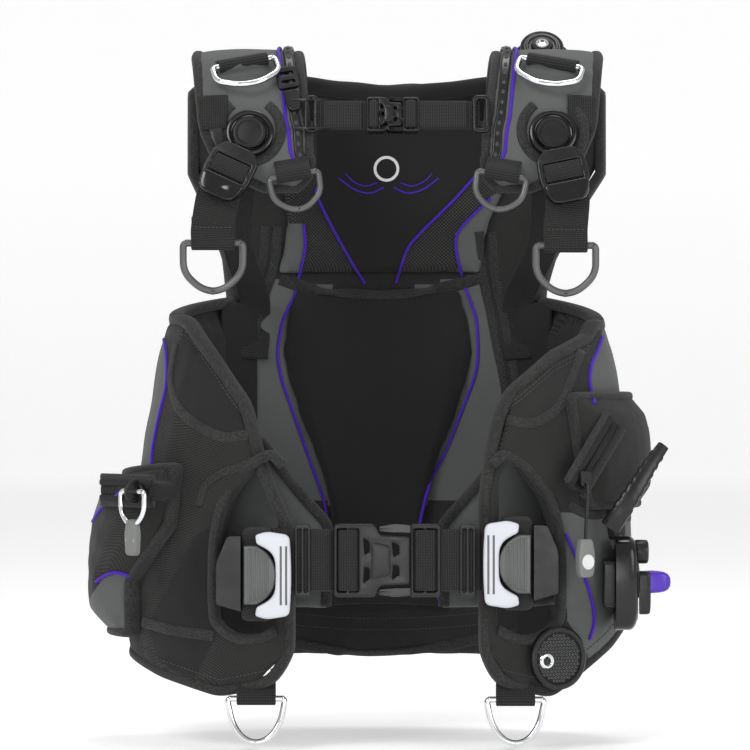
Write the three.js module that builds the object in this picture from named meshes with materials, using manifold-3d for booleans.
// Buoyancy compensator vest of the weight-integrated jacket kind, as worn on a torso.
// Millimetres, +Z up. The wearer faces -Y, so -X is the wearer's right-hand side.
// The origin is the centre of the tank seat's rear face, which looks along +Y.
import * as THREE from 'three';
import { mergeVertices } from 'three/addons/utils/BufferGeometryUtils.js';
import Module from 'manifold-3d';

const wasm = await Module();
wasm.setup();

const SIDES = [['right', -1], ['left', 1]];
const GAP = 0.3;                       // between pieces that touch
const RUN = 0.5;                       // between a moving piece and what guides it
const UP = new THREE.Vector3(0, 0, 1);
const ACROSS = new THREE.Vector3(1, 0, 0);
const FRONT = new THREE.Vector3(0, -1, 0);

// Driving dimensions
const TORSO_DEPTH = 240;               // front to back of the jacket's middle surface
const BACK_Y = -25.8;                  // where that surface runs behind the wearer
const TORSO_Y = BACK_Y - TORSO_DEPTH / 2;  // middle of the depth
const GIRTH = {                        // half width of that surface by height, on each side
  right: [[-260, 218], [-220, 218], [-120, 211], [-50, 200], [50, 184], [70, 188], [150, 320], [300, 340]],
  left: [[-260, 200], [-190, 204], [-50, 198], [0, 191], [50, 184], [70, 188], [150, 320], [300, 340]],
};
const SHOULDER_LEAN = 9;               // the shoulders sit this far to the left of the waist
const BACK_LEAN = -8;                  // and the lower back pad this far to the right
const CELL_THICK = 16;
const LOBE_THICK = 22;
const PAD_THICK = 14;                  // shoulder pads
const LINER_THICK = 6;                 // cummerbund flaps
const LOBE_OUT = CELL_THICK - LOBE_THICK / 2;        // the lobes' outer face, out from the middle surface
const LOBE_IN = CELL_THICK - 1.5 * LOBE_THICK;       // and their inner face
const WEB_THICK = 2.4;
const WAIST_WEB = 50;
const CHEST_WEB = 25;
const WAIST_Y = BACK_Y - TORSO_DEPTH + 1.8;
const WAIST_Z = -148;
const CHEST_Z = 219;
const TANK_RADIUS = 92.5;
const BAND_HEIGHT = 50;
const BAND_Z = -10;
const SLOT_X = 62;                     // the backplate's band slots, from the middle
const SWIVEL = { x: 127, z: 203, radius: 20, cap: 14, rivet: 5.5, disc: 5, lean: 12 };
const RING_WIRE = 2.6;                 // chrome rings
const PULL_WIRE = 3;                   // moulded rings
const MOUTH = { inner: 90, outer: 141 };  // weight pocket's mouth in the lobe's front
const POUCH_LENGTH = 50;

const colour = (hex, roughness, metalness = 0) =>
  new THREE.MeshStandardMaterial({ color: hex, roughness, metalness });
const NYLON = colour(0x262624, 0.9);
const NEOPRENE = colour(0x58595a, 0.85);
const WEBBING = colour(0x323432, 0.85);
const PLASTIC = colour(0x1e1f20, 0.45);
const GREY_PLASTIC = colour(0x5f615f, 0.5);
const SILVER = colour(0xcdced6, 0.35);
const CHROME = colour(0xd8dadc, 0.15, 1);
const MESH = colour(0x1b1b1b, 0.8);

// ---------------------------------------------------------------- general shapes

const mix = (a, b, t) => a + (b - a) * t;
const DEPTH_DRAWN = 240;
// A y drawn for a torso of that depth, at the depth that is set.
const deep = (y) => BACK_Y + (y - BACK_Y) * (TORSO_DEPTH / DEPTH_DRAWN);
const clamp01 = (t) => Math.min(Math.max(t, 0), 1);
const point = (x, y, z) => new THREE.Vector3(x, y, z);

// Value at a key, straight between the table's rows, which rise by key.
function lookup(table, key) {
  if (key <= table[0][0]) return table[0][1];
  const next = table.findIndex(([k]) => k >= key);
  if (next < 0) return table[table.length - 1][1];
  const [k0, v0] = table[next - 1];
  const [k1, v1] = table[next];
  return mix(v0, v1, (key - k0) / (k1 - k0));
}

// Closed geometry from points and triangles, turned so that its faces point out.
function closed(points, triangles) {
  const geometry = new THREE.BufferGeometry().setFromPoints(points);
  const volume = triangles.reduce((sum, [a, b, c]) =>
    sum + points[a].dot(points[b].clone().cross(points[c])), 0);
  geometry.setIndex(triangles.flatMap(([a, b, c]) => (volume > 0 ? [a, b, c] : [a, c, b])));
  return geometry;
}

// Solid between two surfaces given as functions of (u, v) from 0 to 1.
function between(nu, nv, outer, inner) {
  const points = [];
  for (const face of [outer, inner]) {
    for (let i = 0; i <= nu; i++) for (let j = 0; j <= nv; j++) points.push(face(i / nu, j / nv));
  }
  const id = (k, i, j) => (k * (nu + 1) + i) * (nv + 1) + j;
  const triangles = [];
  const quad = (a, b, c, d) => triangles.push([a, b, c], [a, c, d]);
  for (let i = 0; i < nu; i++) {
    for (let j = 0; j < nv; j++) {
      quad(id(0, i, j), id(0, i + 1, j), id(0, i + 1, j + 1), id(0, i, j + 1));
      quad(id(1, i, j), id(1, i, j + 1), id(1, i + 1, j + 1), id(1, i + 1, j));
    }
    quad(id(0, i, 0), id(1, i, 0), id(1, i + 1, 0), id(0, i + 1, 0));
    quad(id(0, i, nv), id(0, i + 1, nv), id(1, i + 1, nv), id(1, i, nv));
  }
  for (let j = 0; j < nv; j++) {
    quad(id(0, 0, j), id(0, 0, j + 1), id(1, 0, j + 1), id(1, 0, j));
    quad(id(0, nu, j), id(1, nu, j), id(1, nu, j + 1), id(0, nu, j + 1));
  }
  return closed(points, triangles);
}

// Flat band of a given width and thickness, its middle line along a path.
function strap(path, across, width, thickness, loop = false) {
  const last = path.length - 1;
  const wrapAt = (i) => path[(i + path.length) % path.length];
  const points = path.flatMap((p, i) => {
    const into = i > 0 || loop ? p.clone().sub(wrapAt(i - 1)) : path[1].clone().sub(p);
    const out = i < last || loop ? wrapAt(i + 1).clone().sub(p) : into.clone();
    const n0 = into.cross(across).normalize();
    const n1 = out.cross(across).normalize();
    const mitre = n0.clone().add(n1).normalize();
    const lift = mitre.clone().multiplyScalar(thickness / 2 / mitre.dot(n0));
    const half = across.clone().multiplyScalar(width / 2);
    return [p.clone().add(half).add(lift), p.clone().sub(half).add(lift),
      p.clone().sub(half).sub(lift), p.clone().add(half).sub(lift)];
  });
  return skin(points, 4, path.length, loop);
}

// Closed loop of round wire along a path, its section square to the path.
function wire(path, radius, normal, sides = 6) {
  const points = path.flatMap((p, i) => {
    const next = path[(i + 1) % path.length];
    const before = path[(i + path.length - 1) % path.length];
    const tangent = next.clone().sub(p).normalize().add(p.clone().sub(before).normalize()).normalize();
    const n = tangent.clone().cross(normal).normalize();
    const b = n.clone().cross(tangent);
    return Array.from({ length: sides }, (_, k) => {
      const angle = (2 * Math.PI * k) / sides;
      return p.clone().addScaledVector(n, radius * Math.cos(angle)).addScaledVector(b,
        radius * Math.sin(angle));
    });
  });
  return skin(points, sides, path.length, true);
}

// Skin over rings of points, one ring after another, open ends capped.
function skin(points, sides, rings, loop) {
  const triangles = [];
  const quad = (a, b, c, d) => triangles.push([a, b, c], [a, c, d]);
  for (let i = 0; i < (loop ? rings : rings - 1); i++) {
    const next = (i + 1) % rings;
    for (let k = 0; k < sides; k++) {
      const m = (k + 1) % sides;
      quad(i * sides + k, i * sides + m, next * sides + m, next * sides + k);
    }
  }
  if (!loop) {
    for (let k = 1; k < sides - 1; k++) {
      const end = (rings - 1) * sides;
      triangles.push([0, k + 1, k], [end, end + k, end + k + 1]);
    }
  }
  return closed(points, triangles);
}

// Outline through corners [x, y, radius], each rounded by its own radius.
function rounded(corners, Outline = THREE.Shape) {
  const outline = new Outline();
  corners.forEach(([x, y, r = 0], i) => {
    const toward = ([tx, ty]) => {
      const d = Math.hypot(tx - x, ty - y);
      return [x + ((tx - x) * r) / d, y + ((ty - y) * r) / d];
    };
    const start = toward(corners[(i + corners.length - 1) % corners.length]);
    if (i === 0) outline.moveTo(...start);
    else outline.lineTo(...start);
    if (r > 0) outline.quadraticCurveTo(x, y, ...toward(corners[(i + 1) % corners.length]));
  });
  outline.closePath();
  return outline;
}

const boxCorners = (x0, y0, x1, y1, r = 0) => [[x0, y0, r], [x1, y0, r], [x1, y1, r], [x0, y1, r]];

// Plate of an outline with holes, its back at local z = low.
function plate(outline, low, high, holes = [], curveSegments = 2) {
  outline.holes.push(...holes);
  const options = { depth: high - low, bevelEnabled: false, curveSegments };
  return new THREE.ExtrudeGeometry(outline, options).translate(0, 0, low);
}

function block(x0, y0, z0, x1, y1, z1) {
  const box = new THREE.BoxGeometry(x1 - x0, y1 - y0, z1 - z0);
  return box.translate((x0 + x1) / 2, (y0 + y1) / 2, (z0 + z1) / 2);
}

// Disc about the local z axis.
function disc(radius, low, high, sides = 20) {
  return new THREE.CylinderGeometry(radius, radius, high - low, sides)
    .rotateX(Math.PI / 2).translate(0, 0, (low + high) / 2);
}

function solid(geometry) {
  const bare = geometry.clone();
  bare.deleteAttribute('normal');
  bare.deleteAttribute('uv');
  const merged = mergeVertices(bare, 1e-4);
  const mesh = new wasm.Mesh({
    numProp: 3,
    vertProperties: new Float32Array(merged.attributes.position.array),
    triVerts: new Uint32Array(merged.index.array),
  });
  return new wasm.Manifold(mesh);
}

function surface(manifold) {
  const mesh = manifold.getMesh();
  const geometry = new THREE.BufferGeometry();
  geometry.setAttribute('position', new THREE.BufferAttribute(mesh.vertProperties, 3));
  geometry.setIndex(new THREE.BufferAttribute(mesh.triVerts, 1));
  return geometry;
}

const join = (first, ...rest) => surface(rest.reduce((sum, g) => sum.add(solid(g)), solid(first)));
const cut = (first, ...rest) => surface(rest.reduce((sum, g) => sum.subtract(solid(g)), solid(first)));

// Place whose local z points along normal and local y as near up as it can, turned by spin.
function placeAt(origin, normal, up = UP, spin = 0) {
  const z = normal.clone().normalize();
  const x = up.clone().cross(z).normalize();
  const y = z.clone().cross(x);
  return new THREE.Matrix4().makeBasis(x, y, z).setPosition(origin)
    .multiply(new THREE.Matrix4().makeRotationZ(spin));
}

const vest = new THREE.Group();
vest.name = 'vest';

function add(name, geometry, material, place = new THREE.Matrix4()) {
  const mesh = new THREE.Mesh(geometry, material);
  mesh.name = name;
  mesh.applyMatrix4(place);
  vest.add(mesh);
  return mesh;
}

// ---------------------------------------------------------------- the torso surface

const leanAt = (z) => SHOULDER_LEAN * clamp01((z - 80) / 100);

// Point on the jacket's middle surface, or out from it: phi runs from the back to the front.
function wrap(side, phi, z, out = 0) {
  const a = lookup(GIRTH[side < 0 ? 'right' : 'left'], z);
  const b = TORSO_DEPTH / 2;
  const normal = torsoNormal(side, phi, z);
  const x = side * a * Math.sin(phi) + leanAt(z);
  return point(x, TORSO_Y + b * Math.cos(phi), z).addScaledVector(normal, out);
}

function torsoNormal(side, phi, z) {
  const a = lookup(GIRTH[side < 0 ? 'right' : 'left'], z);
  return point((side * Math.sin(phi)) / a, Math.cos(phi) / (TORSO_DEPTH / 2), 0).normalize();
}

// Angle at which the surface is x away from the middle, on the back or on the front.
function phiAt(side, x, z, front = true) {
  const a = lookup(GIRTH[side < 0 ? 'right' : 'left'], z);
  const phi = Math.asin(Math.min(x / a, 1));
  return front ? Math.PI - phi : phi;
}

// Fullness of a stuffed panel: 1 inside, down to rim at its edges.
const fullness = (u, v, rim) => mix(rim, 1, Math.sqrt(Math.max(4 * u * (1 - u), 0)) ** 0.5
  * Math.sqrt(Math.max(4 * v * (1 - v), 0)) ** 0.5);

// Half width of the back by height, measured around the surface's middle.
const CELL_EDGE = [[-243, 133], [68, 133], [76, 134], [106, 141], [140, 156], [180, 178], [250, 178],
  [262, 160]];
const SEAM_X = 133.9;                  // where the lobes begin

function backPanel(edges, zLow, zHigh, out, thick, lean, nu = 12, nv = 12, rim = 0.7) {
  const face = (sign) => (u, v) => {
    const z = mix(zLow, zHigh, v);
    const x = (2 * u - 1) * lookup(edges, z) + lean(z);
    const side = x < 0 ? -1 : 1;
    return wrap(side, phiAt(side, Math.abs(x), z, false), z, out + sign * (thick / 2) * fullness(u, v,
      rim));
  };
  return between(nu, nv, face(1), face(-1));
}

function back() {
  const cell = backPanel(CELL_EDGE, -243, 262, 0, CELL_THICK, () => 0, 12, 14, 1);
  add('back_air_cell', cell, NYLON);
  const padOut = -CELL_THICK / 2 - GAP - 7;
  const padEdge = [[-200, 66], [-185, 58], [-150, 44], [-106, 46], [-60, 62], [-20, 78],
    [22, 88], [45, 86], [80, 74]];
  add('back_pad', backPanel(padEdge, -200, 80, padOut, 14, () => BACK_LEAN, 8, 10), NEOPRENE);
  const upperEdge = [[92, 92], [130, 90], [180, 104], [229, 122]];
  const upperLean = (z) => mix(BACK_LEAN, 0, clamp01((z - 90) / 90));
  add('upper_back_panel', backPanel(upperEdge, 92, 229, padOut + 1, 12, upperLean, 8, 6), MESH);
}

// ---------------------------------------------------------------- shoulders

// The pads start behind the wearer, at the upper back, and reach forward with the torso's depth.
const PAD_START = -59;
const padY = (y) => PAD_START + (y - PAD_START) * ((TORSO_DEPTH - 33.2) / (DEPTH_DRAWN - 33.2));
const PAD_PATH = new THREE.CatmullRomCurve3([[-59, 223], [-67.8, 250], [-92, 270], [-124, 276], [-153, 264],
  [-172, 238], [-185, 205], [-196, 161]].map(([y, z]) => point(0, padY(y), z)));
const PAD_CENTRE = [[0, 122], [0.45, 128], [0.75, 121], [0.88, 114], [1, 98]];
const PAD_HALF = [[0, 42], [0.5, 43], [0.8, 43], [0.9, 38], [0.96, 28], [1, 14]];

// Pad's middle at u from back to front, and its outward normal there.
function padFrame(side, u) {
  const p = PAD_PATH.getPointAt(u);
  const t = PAD_PATH.getTangentAt(u);
  return { middle: point(side * lookup(PAD_CENTRE, u) + SHOULDER_LEAN, p.y, p.z),
    normal: point(0, -t.z, t.y).multiplyScalar(-1), up: t.clone().negate() };
}

// Place on the front face of a pad, at a height and an x.
function onPad(x, z, out, spin = 0) {
  let u = 0.5;
  while (PAD_PATH.getPointAt(u).z > z && u < 0.999) u += 0.001;
  const { middle, normal, up } = padFrame(1, u);
  return placeAt(point(x, middle.y, middle.z).addScaledVector(normal, PAD_THICK / 2 + out), normal, up,
    spin);
}

// Rolled loop of webbing about a bar on the local x axis, its tail running back along -z.
function eye(width, bar, tail) {
  const hole = bar + RUN;
  const outside = hole + WEB_THICK;
  const profile = new THREE.Shape();
  const lip = Math.asin(WEB_THICK / outside);
  profile.moveTo(-tail, WEB_THICK);
  profile.absarc(0, 0, outside, Math.PI - lip, -Math.PI + lip, true);
  profile.lineTo(-tail, -WEB_THICK);
  profile.closePath();
  const bore = new THREE.Path();
  bore.absarc(0, 0, hole, 0, 2 * Math.PI, false);
  return plate(profile, -width / 2, width / 2, [bore], 8).rotateY(-Math.PI / 2);
}

// Ring on a straight bar along local x, hanging to -y, bent forward by bend at its foot.
function hangingRing(width, height, wireRadius, foot, bend = 0) {
  const half = width / 2;
  const corners = [[-half, 0, 4], [half, 0, 4], [half * foot, -height * 0.62, height * 0.25],
    [half * 0.32, -height, height * 0.25], [-half * 0.32, -height, height * 0.25],
    [-half * foot, -height * 0.62, height * 0.25]];
  const outline = rounded(corners).getPoints(2);
  const path = outline.filter((p, i) => p.distanceTo(outline[(i + 1) % outline.length]) > 0.05)
    .map((p) => point(p.x, p.y, bend * clamp01(-p.y / height) ** 2));
  return wire(path, wireRadius, new THREE.Vector3(0, 0, 1));
}

const SHOULDER_RING = { x: 130, z: 259, width: 54, height: 29, loop: 40, out: 6 };
const CHEST_RING = { x: 87, z: 168, width: 42, height: 30, loop: 28, out: 6 };

function shoulderPad(name, side) {
  const face = (sign) => (u, v) => {
    const { middle, normal } = padFrame(side, u);
    const x = (2 * v - 1) * lookup(PAD_HALF, u);
    const rim = mix(0.62, 1, Math.sqrt(Math.max(1 - (2 * v - 1) ** 2, 0)));
    return middle.clone().add(point(x, 0, 0)).addScaledVector(normal, (sign * PAD_THICK * rim) / 2);
  };
  const body = between(14, 6, face(1), face(-1));
  const loops = ringPlaces(side).map(({ place, loop, out }) => eye(loop, RING_WIRE,
    out + 4).applyMatrix4(place));
  add(`shoulder_pad_${name}`, join(body, ...loops), NEOPRENE);
}

// The bars of the two rings on a pad.
function ringPlaces(side) {
  return [[SHOULDER_RING, -side * THREE.MathUtils.degToRad(14)], [CHEST_RING,
    side * THREE.MathUtils.degToRad(-10)]]
    .map(([ring, spin]) => ({ ...ring,
      place: onPad(side * ring.x + SHOULDER_LEAN, ring.z, ring.out, spin) }));
}

function shoulderRings(name, side) {
  const [top, chest] = ringPlaces(side);
  add(`shoulder_dring_${name}`, hangingRing(top.width, top.height, RING_WIRE, 1, 2), CHROME, top.place);
  add(`chest_dring_${name}`, hangingRing(chest.width, chest.height, RING_WIRE, 0.95), GREY_PLASTIC,
    chest.place);
}

const BUCKLE = { width: 40, height: 42, thick: 8, drop: 41 };
const SWIVEL_ANGLE = { right: -26, left: 12 };

function swivel(name, side) {
  const place = onPad(side * SWIVEL.x + SWIVEL.lean, SWIVEL.z, GAP);
  const turned = place.clone().multiply(
    new THREE.Matrix4().makeRotationZ(THREE.MathUtils.degToRad(SWIVEL_ANGLE[name])));
  const rivet = join(disc(SWIVEL.rivet, 0, SWIVEL.disc + GAP + 1), disc(SWIVEL.cap, SWIVEL.disc + GAP,
    SWIVEL.disc + 3));
  add(`swivel_cap_${name}`, rivet, PLASTIC, place);
  const half = BUCKLE.width / 2;
  const top = -BUCKLE.drop + BUCKLE.height / 2;
  const foot = top - BUCKLE.height;
  const slots = [8, 19].map((down) => rounded(boxCorners(-15, top - down - 6.5, 15, top - down, 1.5),
    THREE.Path));
  const low = 2 * WEB_THICK + 2 * GAP;
  const frame = plate(rounded([[-half + 3, foot, 8], [half - 3, foot, 8], [half, top - 4, 3], [13,
    top + 4, 3],
    [-13, top + 4, 3], [-half, top - 4, 3]]), low, low + BUCKLE.thick, slots);
  const body = cut(join(disc(SWIVEL.radius, 0, SWIVEL.disc + 1, 28), frame), disc(SWIVEL.rivet + RUN,
    -1, 20),
    disc(SWIVEL.cap + RUN, SWIVEL.disc, 20, 28));
  add(`swivel_buckle_${name}`, body, PLASTIC, turned);
  pullWeb(name, turned);
}

const PULL = { right: { x: -145, z: 114 }, left: { x: 149, z: 112 } };

function pullWeb(name, buckle) {
  const { x, z } = PULL[name];
  const layer = GAP + WEB_THICK;
  const top = point(0, -BUCKLE.drop, layer).applyMatrix4(buckle);
  const bend = point(0, -BUCKLE.drop - 16, layer).applyMatrix4(buckle);
  const { y } = bend;
  const bar = PULL_WIRE + RUN + WEB_THICK / 2;
  const path = [top, bend, point(x, y, z + 14), point(x, y, z + bar)];
  const tail = eye(30, PULL_WIRE, 8).applyMatrix4(placeAt(point(x, y, z), point(0, 0, -1), FRONT));
  add(`pull_web_${name}`, join(strap(path, ACROSS, 30, 2 * WEB_THICK), tail), WEBBING);
  const ring = hangingRing(50, 40, PULL_WIRE, 1);
  add(`pull_ring_${name}`, ring, GREY_PLASTIC, placeAt(point(x, y, z), FRONT));
}

function collar() {
  const radius = 7.5;
  const path = new THREE.CatmullRomCurve3([point(-70.5, -68, 254), point(-36, -60, 252), point(8, -54, 249),
    point(52, -60, 252), point(88.5, -68, 254)]);
  const ring = new THREE.Shape(Array.from({ length: 10 }, (_, k) => new THREE.Vector2(
    radius * Math.cos((Math.PI * k) / 5), radius * Math.sin((Math.PI * k) / 5))));
  add('collar', new THREE.ExtrudeGeometry(ring, { steps: 14, extrudePath: path, bevelEnabled: false }),
    NYLON);
}

function shoulderValve() {
  const tilt = THREE.MathUtils.degToRad(41);
  const normal = point(0, -Math.cos(tilt), Math.sin(tilt));
  const centre = point(136, -44, 292);
  const place = placeAt(centre, normal);
  const neck = block(-15, -8, -17, 15, 8, 17).translate(136, -44, 279.5);
  const body = join(disc(19, -9, 0, 24).applyMatrix4(place), neck);
  add('shoulder_valve_body', cut(body, disc(9.5, -7.5, 5).applyMatrix4(place)), PLASTIC);
  add('shoulder_valve_knob', disc(9, -3.4, 3, 20), PLASTIC, place);
}

function underarmStrap(name, side) {
  const phi = phiAt(side, 119, 40, false);
  const across = point(0, 0, 1).cross(torsoNormal(side, phi, 40)).normalize();
  const low = -CELL_THICK / 2 - 2 * GAP - WEB_THICK;
  const path = [point(side * 128 + 6, padY(-177), 170), point(side * 130 + 3, padY(-140), 116),
    wrap(side, phi, 66, low), wrap(side, phi, 18, low)];
  add(`underarm_strap_${name}`, strap(path, across, CHEST_WEB, WEB_THICK), WEBBING);
}

// ---------------------------------------------------------------- sternum and waist straps

// Half of a side-release buckle along local x, about its own middle plane; the mouth faces +x.
function femaleHalf({ length, height, thick, prong, web }) {
  const h = height / 2;
  const frame = length - prong * 2.1;
  const body = plate(rounded([[-length, -h, 4], [-prong * 1.9, -h, 3], [-prong * 1.5, -h * 0.82, 2],
    [-prong * 0.7, -h * 0.82, 2], [-prong * 0.4, -h, 2], [0, -h, 1], [0, h, 1], [-prong * 0.4, h, 2],
    [-prong * 0.7, h * 0.82, 2], [-prong * 1.5, h * 0.82, 2], [-prong * 1.9, h, 3], [-length, h, 4]]),
  -thick / 2, thick / 2, webWindows(-length, frame, web));
  return cut(body, block(-prong - RUN, -h * 0.7 - RUN, -thick * 0.2 - RUN, 1, h * 0.7 + RUN,
    thick * 0.2 + RUN),
    webChannel(-length, -prong * 1.75, web));
}

function maleHalf({ frame, height, thick, prong, web }) {
  const h = height / 2;
  const body = plate(rounded([[GAP, -h, 1], [frame, -h, 4], [frame, h, 4], [GAP, h, 1]]),
    -thick / 2, thick / 2, webWindows(frame, -frame, web));
  const tongue = block(-prong, -h * 0.7, -thick * 0.2, GAP + 1, h * 0.7, thick * 0.2);
  return cut(join(body, tongue), webChannel(frame * 0.08, frame, web));
}

// Two windows with a bar between them, from the web's end of a buckle half.
function webWindows(end, frame, web) {
  const step = frame * 0.42;
  return [0.13, 0.55].map((start) => {
    const x0 = end + frame * start;
    return rounded(boxCorners(Math.min(x0, x0 + step * 0.8), -web / 2 - RUN, Math.max(x0, x0 + step * 0.8),
      web / 2 + RUN, 0.8), THREE.Path);
  });
}

// The slit that the webbing lies in, from low to high along the buckle, past its open end.
function webChannel(low, high, web) {
  const [x0, x1] = low < 0 ? [low - 1, high] : [low, high + 1];
  return block(x0, -web / 2 - RUN, -WEB_THICK / 2 - GAP, x1, web / 2 + RUN, WEB_THICK / 2 + GAP);
}

const WAIST_BUCKLE = { joint: 19, length: 63, frame: 25, height: WAIST_WEB + 10, thick: 12, prong: 19 };
const CHEST_BUCKLE = { joint: 13, length: 30, frame: 14, height: CHEST_WEB + 6, thick: 8.5, prong: 9 };

// Both halves of a buckle, their joint at x in a place.
function buckle(prefix, size, x, place, web) {
  const at = place.clone().multiply(new THREE.Matrix4().makeTranslation(x, 0, 0));
  add(`${prefix}_buckle_female`, femaleHalf({ ...size, web }), PLASTIC, at);
  add(`${prefix}_buckle_male`, maleHalf({ ...size, web }), PLASTIC, at);
}

function waistBelt() {
  const { joint, length, frame } = WAIST_BUCKLE;
  buckle('waist', WAIST_BUCKLE, joint, placeAt(point(0, WAIST_Y, WAIST_Z), FRONT), WAIST_WEB);
  const inside = MOUTH.inner + RUN + WEB_THICK / 2;
  const starts = { right: length - joint - 10, left: joint + frame * 0.15 };
  const sliderX = { right: 69.5, left: 66 };
  for (const [name, side] of SIDES) {
    const path = [[starts[name], WAIST_Y], [inside - 5, WAIST_Y], [inside - 1.4, WAIST_Y + 1.4],
      [inside, WAIST_Y + 5], [inside, WAIST_Y + 46]].map(([x, y]) => point(side * x, y, WAIST_Z));
    add(`waist_web_${name}`, strap(path, UP, WAIST_WEB, WEB_THICK), WEBBING);
    const opening = rounded(boxCorners(-WEB_THICK / 2 - GAP, -WAIST_WEB / 2 - GAP, WEB_THICK / 2 + GAP,
      WAIST_WEB / 2 + GAP), THREE.Path);
    const half = WAIST_WEB / 2 + 5;
    const slider = plate(rounded(boxCorners(-4, -half, 4, half, 2)), -5, 5, [opening]);
    add(`waist_slider_${name}`, slider, PLASTIC, placeAt(point(side * sliderX[name], WAIST_Y, WAIST_Z),
      ACROSS));
  }
}

// The sternum strap lies along the pads, so it is built square to them.
function sternumStrap() {
  const { joint, length, frame } = CHEST_BUCKLE;
  const place = onPad(0, CHEST_Z, 1);
  buckle('sternum', CHEST_BUCKLE, joint, place, CHEST_WEB);
  const starts = { right: joint - length + 4, left: joint + frame * 0.15 };
  const ends = { right: -62, left: 78 };
  for (const [name, side] of SIDES) {
    const path = [point(starts[name], 0, 0), point(ends[name], 0, 0)];
    const web = strap(path, new THREE.Vector3(0, 1, 0), CHEST_WEB, WEB_THICK);
    const half = CHEST_WEB / 2 + 3.5;
    const loop = block(Math.min(0, side * 10), -half, -3, Math.max(0, side * 10), half, 4)
      .translate(ends[name] - side * 3, 0, 0);
    add(`sternum_web_${name}`, join(web, loop), WEBBING, place);
  }
}

// ---------------------------------------------------------------- lobes, pockets and weights

// Front edge of each lobe: distance from the middle and height, down from the armhole.
const ARMHOLE = {
  right: [[82, -121], [105, -66], [116, -23], [150, 16], [180, 46], [188, 50]],
  left: [[82, -117], [86, -66], [90, -43], [104, -12], [147, 20], [180, 34], [190, 46]],
};
const HEM = {                          // lower edge by distance from the middle, on the front
  right: [[82, -222], [96, -248], [133, -258], [175, -244], [200, -231], [218, -222]],
  left: [[82, -218], [99, -248], [140, -259], [171, -234], [187, -221], [204, -200]],
};

function lobe(name, side) {
  const seam = phiAt(side, SEAM_X, 0, false);
  const end = phiAt(side, 82, -121);
  const height = (u, v) => {
    const phi = mix(seam, end, u);
    const front = phi > Math.PI / 2;
    const x = lookup(GIRTH[name], 0) * Math.sin(phi);
    const top = front ? lookup(ARMHOLE[name], x + 6)
      : mix(68, lookup(ARMHOLE[name], 200), clamp01((phi - seam) / 0.9));
    const low = front ? lookup(HEM[name], x + 10)
      : mix(-243, lookup(HEM[name], 220), clamp01((phi - seam) / 0.9));
    return mix(low, top, v);
  };
  const face = (sign) => (u, v) => {
    const z = height(u, v);
    const start = phiAt(side, SEAM_X, z, false);
    const phi = mix(start, phiAt(side, 82, z), u);
    const thick = mix(CELL_THICK, LOBE_THICK, clamp01(u * 5)) * fullness(clamp01(0.15 + u * 0.85), v, 0.55);
    return wrap(side, phi, z, sign * thick / 2 - (LOBE_THICK - CELL_THICK) * clamp01(u * 5));
  };
  const body = between(16, 10, face(1), face(-1));
  const { inner, outer } = MOUTH;
  const arch = rounded([[inner, -80, 4], [98, -66, 8], [128, -100, 20], [outer, -138, 20], [outer,
    -198, 12],
    [118, -214, 14], [inner, -206, 4]].map(([x, z, r]) => [side * x, z, r]));
  const mouth = plate(arch, 0, 120).applyMatrix4(placeAt(point(0, TORSO_Y - 39.2, 0), FRONT));
  add(`lobe_${name}`, cut(body, mouth), NYLON);
}

function cummerbund(name, side) {
  const start = THREE.MathUtils.degToRad(66);
  const end = THREE.MathUtils.degToRad(165);
  const topEdge = [[66, -45], [120, -42], [142, -51], [165, -121]];
  const face = (sign) => (u, v) => {
    const phi = mix(start, end, u);
    const z = mix(-190, lookup(topEdge, THREE.MathUtils.radToDeg(phi)), v);
    const out = mix(LOBE_IN, LOBE_IN - 28, clamp01(u * 1.8)) - LINER_THICK / 2;
    return wrap(side, phi, z, out + (sign * LINER_THICK) / 2);
  };
  add(`cummerbund_${name}`, between(14, 4, face(1), face(-1)), NEOPRENE);
}

const POUCH = { inner: 94, outer: 119.5 };
const HANDLE_Z = { right: -160, left: -151 };

function weights(name, side) {
  const z = HANDLE_Z[name];
  const front = WAIST_Y - 4;
  const place = placeAt(point(0, front, z), FRONT);
  const mirror = (shape) => shape.map(([x, y, r]) => [side * x, y, r]);
  const pouch = plate(rounded(mirror(boxCorners(POUCH.inner, -38, POUCH.outer, 38, 4))), -POUCH_LENGTH, 0);
  const grip = plate(rounded(mirror([[104, -20, 3], [98, -11, 6], [98, 11, 6], [104, 20, 3],
    [117, 20, 2], [117, -20, 2]])), -1, 9);
  add(`weight_pouch_${name}`, join(pouch, grip), NYLON, place);
  const cShape = mirror([[80, -33, 4], [100, -36, 4], [108, -33, 2], [107, -26, 2], [84, -14, 12], [84,
    14, 12],
    [107, 26, 2], [108, 33, 2], [100, 36, 4], [80, 33, 4], [78, 0, 20]]);
  add(`weight_handle_${name}`, plate(rounded(cShape), GAP, 12), SILVER, place);
  const block2 = mirror([[POUCH.outer + RUN, -30, 1], [MOUTH.outer - 2 * GAP, -24, 2],
    [MOUTH.outer - 2 * GAP, 10, 4],
    [131, 32, 3], [POUCH.outer + RUN, 32, 1]]);
  add(`weight_receiver_${name}`, plate(rounded(block2), -30, 4), PLASTIC, place);
}

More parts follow.
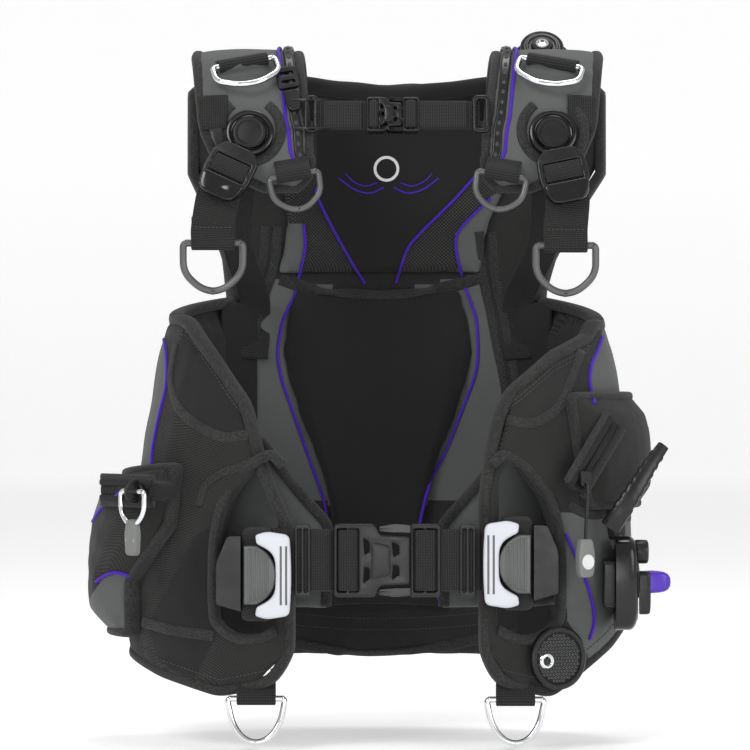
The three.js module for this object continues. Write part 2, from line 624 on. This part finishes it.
function pocketRight() {
  const side = -1;
  const start = THREE.MathUtils.degToRad(60);
  const frontX = [[-212, 203], [-167, 203], [-120, 172], [-70, 166]];
  const face = (outer) => (u, v) => {
    const z = mix(-212, -72 - 14 * (1 - u), v);
    const phi = mix(start, phiAt(side, lookup(frontX, z), z), u);
    const inner = LOBE_OUT + 2.5 * GAP;
    return wrap(side, phi, z, outer ? inner + 34 * fullness(u, v, 0.35) : inner);
  };
  const welt = zipWelt(-1, 116, -92, LOBE_OUT + 35, 0, 22);
  add('pocket_right', join(between(10, 7, face(true), face(false)), welt.rail), NYLON);
  const lug = eye(9, RING_WIRE, 5).translate(0, 0, 10);
  add('zip_slider_right', join(block(-6, -6, GAP, 6, 6, 7), lug), PLASTIC, welt.slider);
  const ring = new THREE.Matrix4().makeTranslation(0, 0, 10);
  add('zip_ring_right', hangingRing(32, 28, RING_WIRE, 1), CHROME, welt.slider.clone().multiply(ring));
}

function pocketLeft() {
  const side = 1;
  const face = (outer) => (u, v) => {
    const z = mix(-104, -14, v);
    const phi = mix(THREE.MathUtils.degToRad(78), phiAt(side, mix(160, 146, v), z), u);
    const inner = LOBE_OUT + 2.5 * GAP;
    return wrap(side, phi, z, outer ? inner + 20 * fullness(u, v, 0.4) : inner);
  };
  const welt = zipWelt(1, 128, -62, LOBE_OUT + 21, THREE.MathUtils.degToRad(52), -24);
  add('pocket_left', join(between(10, 6, face(true), face(false)), welt.rail), NYLON);
  const upright = welt.slider.clone().multiply(new THREE.Matrix4().makeRotationZ(-welt.spin));
  const pull = join(block(-6, -6, GAP, 6, 6, 7), block(-1.5, -52, 3, 1.5, -4, 6),
    plate(rounded([[-7, -82, 4], [7, -82, 4], [9, -62, 5], [6, -50, 2], [-6, -50, 2], [-9, -62, 5]]),
      2, 7));
  add('zip_slider_left', pull, GREY_PLASTIC, upright);
}

// Straight raised zip edge on a pocket, and the place of the slider on it, run along from its middle.
function zipWelt(side, degrees, z, out, spin, run) {
  const phi = THREE.MathUtils.degToRad(degrees);
  const place = placeAt(wrap(side, phi, z, out), torsoNormal(side, phi, z), UP, spin);
  const rail = block(-34, -6, LOBE_OUT + 7 - out, 34, 6, 0).applyMatrix4(place);
  return { rail, spin, slider: place.clone().multiply(new THREE.Matrix4().makeTranslation(run, 0, 0)) };
}

// ---------------------------------------------------------------- tank side

function tankSide() {
  const seat = plate(rounded(boxCorners(-38, -115, 38, 115, 8)), 0, 5);
  add('tank_seat_pad', seat, GREY_PLASTIC, placeAt(point(0, 0, 0), FRONT));
  const plateBack = -5 - GAP;
  const plateThick = 9;
  const outline = rounded([[-70, -168, 25], [70, -168, 25], [94, -60, 40], [94, 70, 40], [64, 165, 22],
    [-64, 165, 22], [-94, 70, 40], [-94, -60, 40]]);
  const slots = [-1, 1].map((s) => rounded(boxCorners(s * SLOT_X - 5, BAND_Z - BAND_HEIGHT / 2 - 3,
    s * SLOT_X + 5,
    BAND_Z + BAND_HEIGHT / 2 + 3, 2), THREE.Path));
  const grip = rounded(boxCorners(-46, 128, 46, 150, 9), THREE.Path);
  add('backplate', plate(outline, 0, plateThick, [...slots, grip]), PLASTIC, placeAt(point(0,
    plateBack, 0), FRONT));
  tankBand(plateBack - plateThick - GAP - WEB_THICK / 2);
}

const CAM_ANGLE = THREE.MathUtils.degToRad(20);

function tankBand(frontY) {
  const radius = TANK_RADIUS + GAP + WEB_THICK / 2;
  const centre = new THREE.Vector2(0, TANK_RADIUS);
  const away = Math.hypot(SLOT_X, TANK_RADIUS);
  const start = Math.atan2(-TANK_RADIUS, SLOT_X) + Math.acos(radius / away);
  const steps = 30;
  const arc = Array.from({ length: steps + 1 }, (_, k) => {
    const angle = mix(start, Math.PI - start, k / steps);
    return [centre.x + radius * Math.cos(angle), centre.y + radius * Math.sin(angle)];
  });
  const path = [[-SLOT_X, frontY], [SLOT_X, frontY], [SLOT_X, 0], ...arc, [-SLOT_X, 0]]
    .map(([x, y]) => point(x, y, BAND_Z));
  add('tank_band', strap(path, UP, BAND_HEIGHT, WEB_THICK, true), WEBBING);
  const normal = point(Math.cos(CAM_ANGLE), Math.sin(CAM_ANGLE), 0);
  const seat = point(0, TANK_RADIUS, BAND_Z).addScaledVector(normal, radius + WEB_THICK / 2 + GAP);
  camBuckle(placeAt(seat, normal));
}

// Cam buckle: a channel on the band, and a lever hinged in its two walls.
function camBuckle(place) {
  const wall = BAND_HEIGHT / 2 + 5;
  const base = plate(rounded(boxCorners(-30, -wall, 30, wall, 4)), 0, 4);
  const walls = [-1, 1].map((s) => block(-30, s * wall - (s > 0 ? 4 : 0), 3, -8,
    s * wall + (s > 0 ? 0 : 4), 16));
  const pin = (r, reach) => disc(r, -reach, reach, 16).rotateX(Math.PI / 2).translate(-20, 0, 10);
  add('cam_frame', cut(join(base, ...walls), pin(2.7 + RUN, wall + 1)), PLASTIC, place);
  const inner = wall - 4 - RUN;
  const body = plate(rounded(boxCorners(-24, -inner, 32, inner, 3)), 6, 13);
  add('cam_lever', join(body, pin(2.7, wall - GAP)), PLASTIC, place);
}

// ---------------------------------------------------------------- fittings on the lobes

const HIP = { right: { x: -108, z: -263 }, left: { x: 106, z: -264 } };

function hip(name, side) {
  const { x, z } = HIP[name];
  const y = wrap(side, phiAt(side, Math.abs(x), z), z, LOBE_OUT - 8).y;
  const place = placeAt(point(x, y, z), FRONT);
  add(`hip_tab_${name}`, eye(32, RING_WIRE, 9).rotateX(Math.PI / 2).applyMatrix4(place), WEBBING);
  add(`hip_dring_${name}`, hangingRing(48, 36, RING_WIRE, 0.8, 4), CHROME, place);
}

function inflator() {
  const oval = rounded([[-20, -39, 16], [20, -39, 16], [22, 10, 12], [18, 39, 16], [-18, 39, 16], [-22,
    10, 12]]);
  const place = placeAt(point(184.5 + LOBE_OUT, deep(-218), -169), ACROSS);
  const body = join(plate(oval, 0, 18), plate(rounded(boxCorners(-9, -16, 9, 16, 4)), -10.3, 1));
  add('inflator_housing', body, PLASTIC, place);
  const rocker = plate(rounded([[-8, -24, 3], [8, -24, 3], [8, 22, 3], [-8, 22, 3]]), 21, 31);
  const pivot = disc(4, -7, 7, 12).rotateY(Math.PI / 2).translate(0, 0, 18 + 4 + RUN);
  add('inflator_lever', join(rocker, pivot), PLASTIC, place);
}

function hoseKeeper() {
  const phi = phiAt(1, 172, -92);
  const place = placeAt(wrap(1, phi, -118, LOBE_OUT + 0.4), torsoNormal(1, phi, -118));
  const base = plate(rounded(boxCorners(-12, -10, 12, 10, 3)), 0, 4);
  const arm = block(-8, -4, 3, 8, 4, 40);
  add('hose_keeper', join(base, arm), PLASTIC, place);
}

function drainPanel() {
  const phi = phiAt(1, 138, -230);
  add('drain_panel', disc(26, 0, 3, 24), MESH, placeAt(wrap(1, phi, -230, LOBE_OUT - 0.4),
    torsoNormal(1, phi, -230)));
}

back();
collar();
shoulderValve();
for (const [name, side] of SIDES) {
  shoulderPad(name, side);
  shoulderRings(name, side);
  swivel(name, side);
  underarmStrap(name, side);
  lobe(name, side);
  cummerbund(name, side);
  weights(name, side);
  hip(name, side);
}
waistBelt();
sternumStrap();
pocketRight();
pocketLeft();
tankSide();
inflator();
hoseKeeper();
drainPanel();

export default vest;
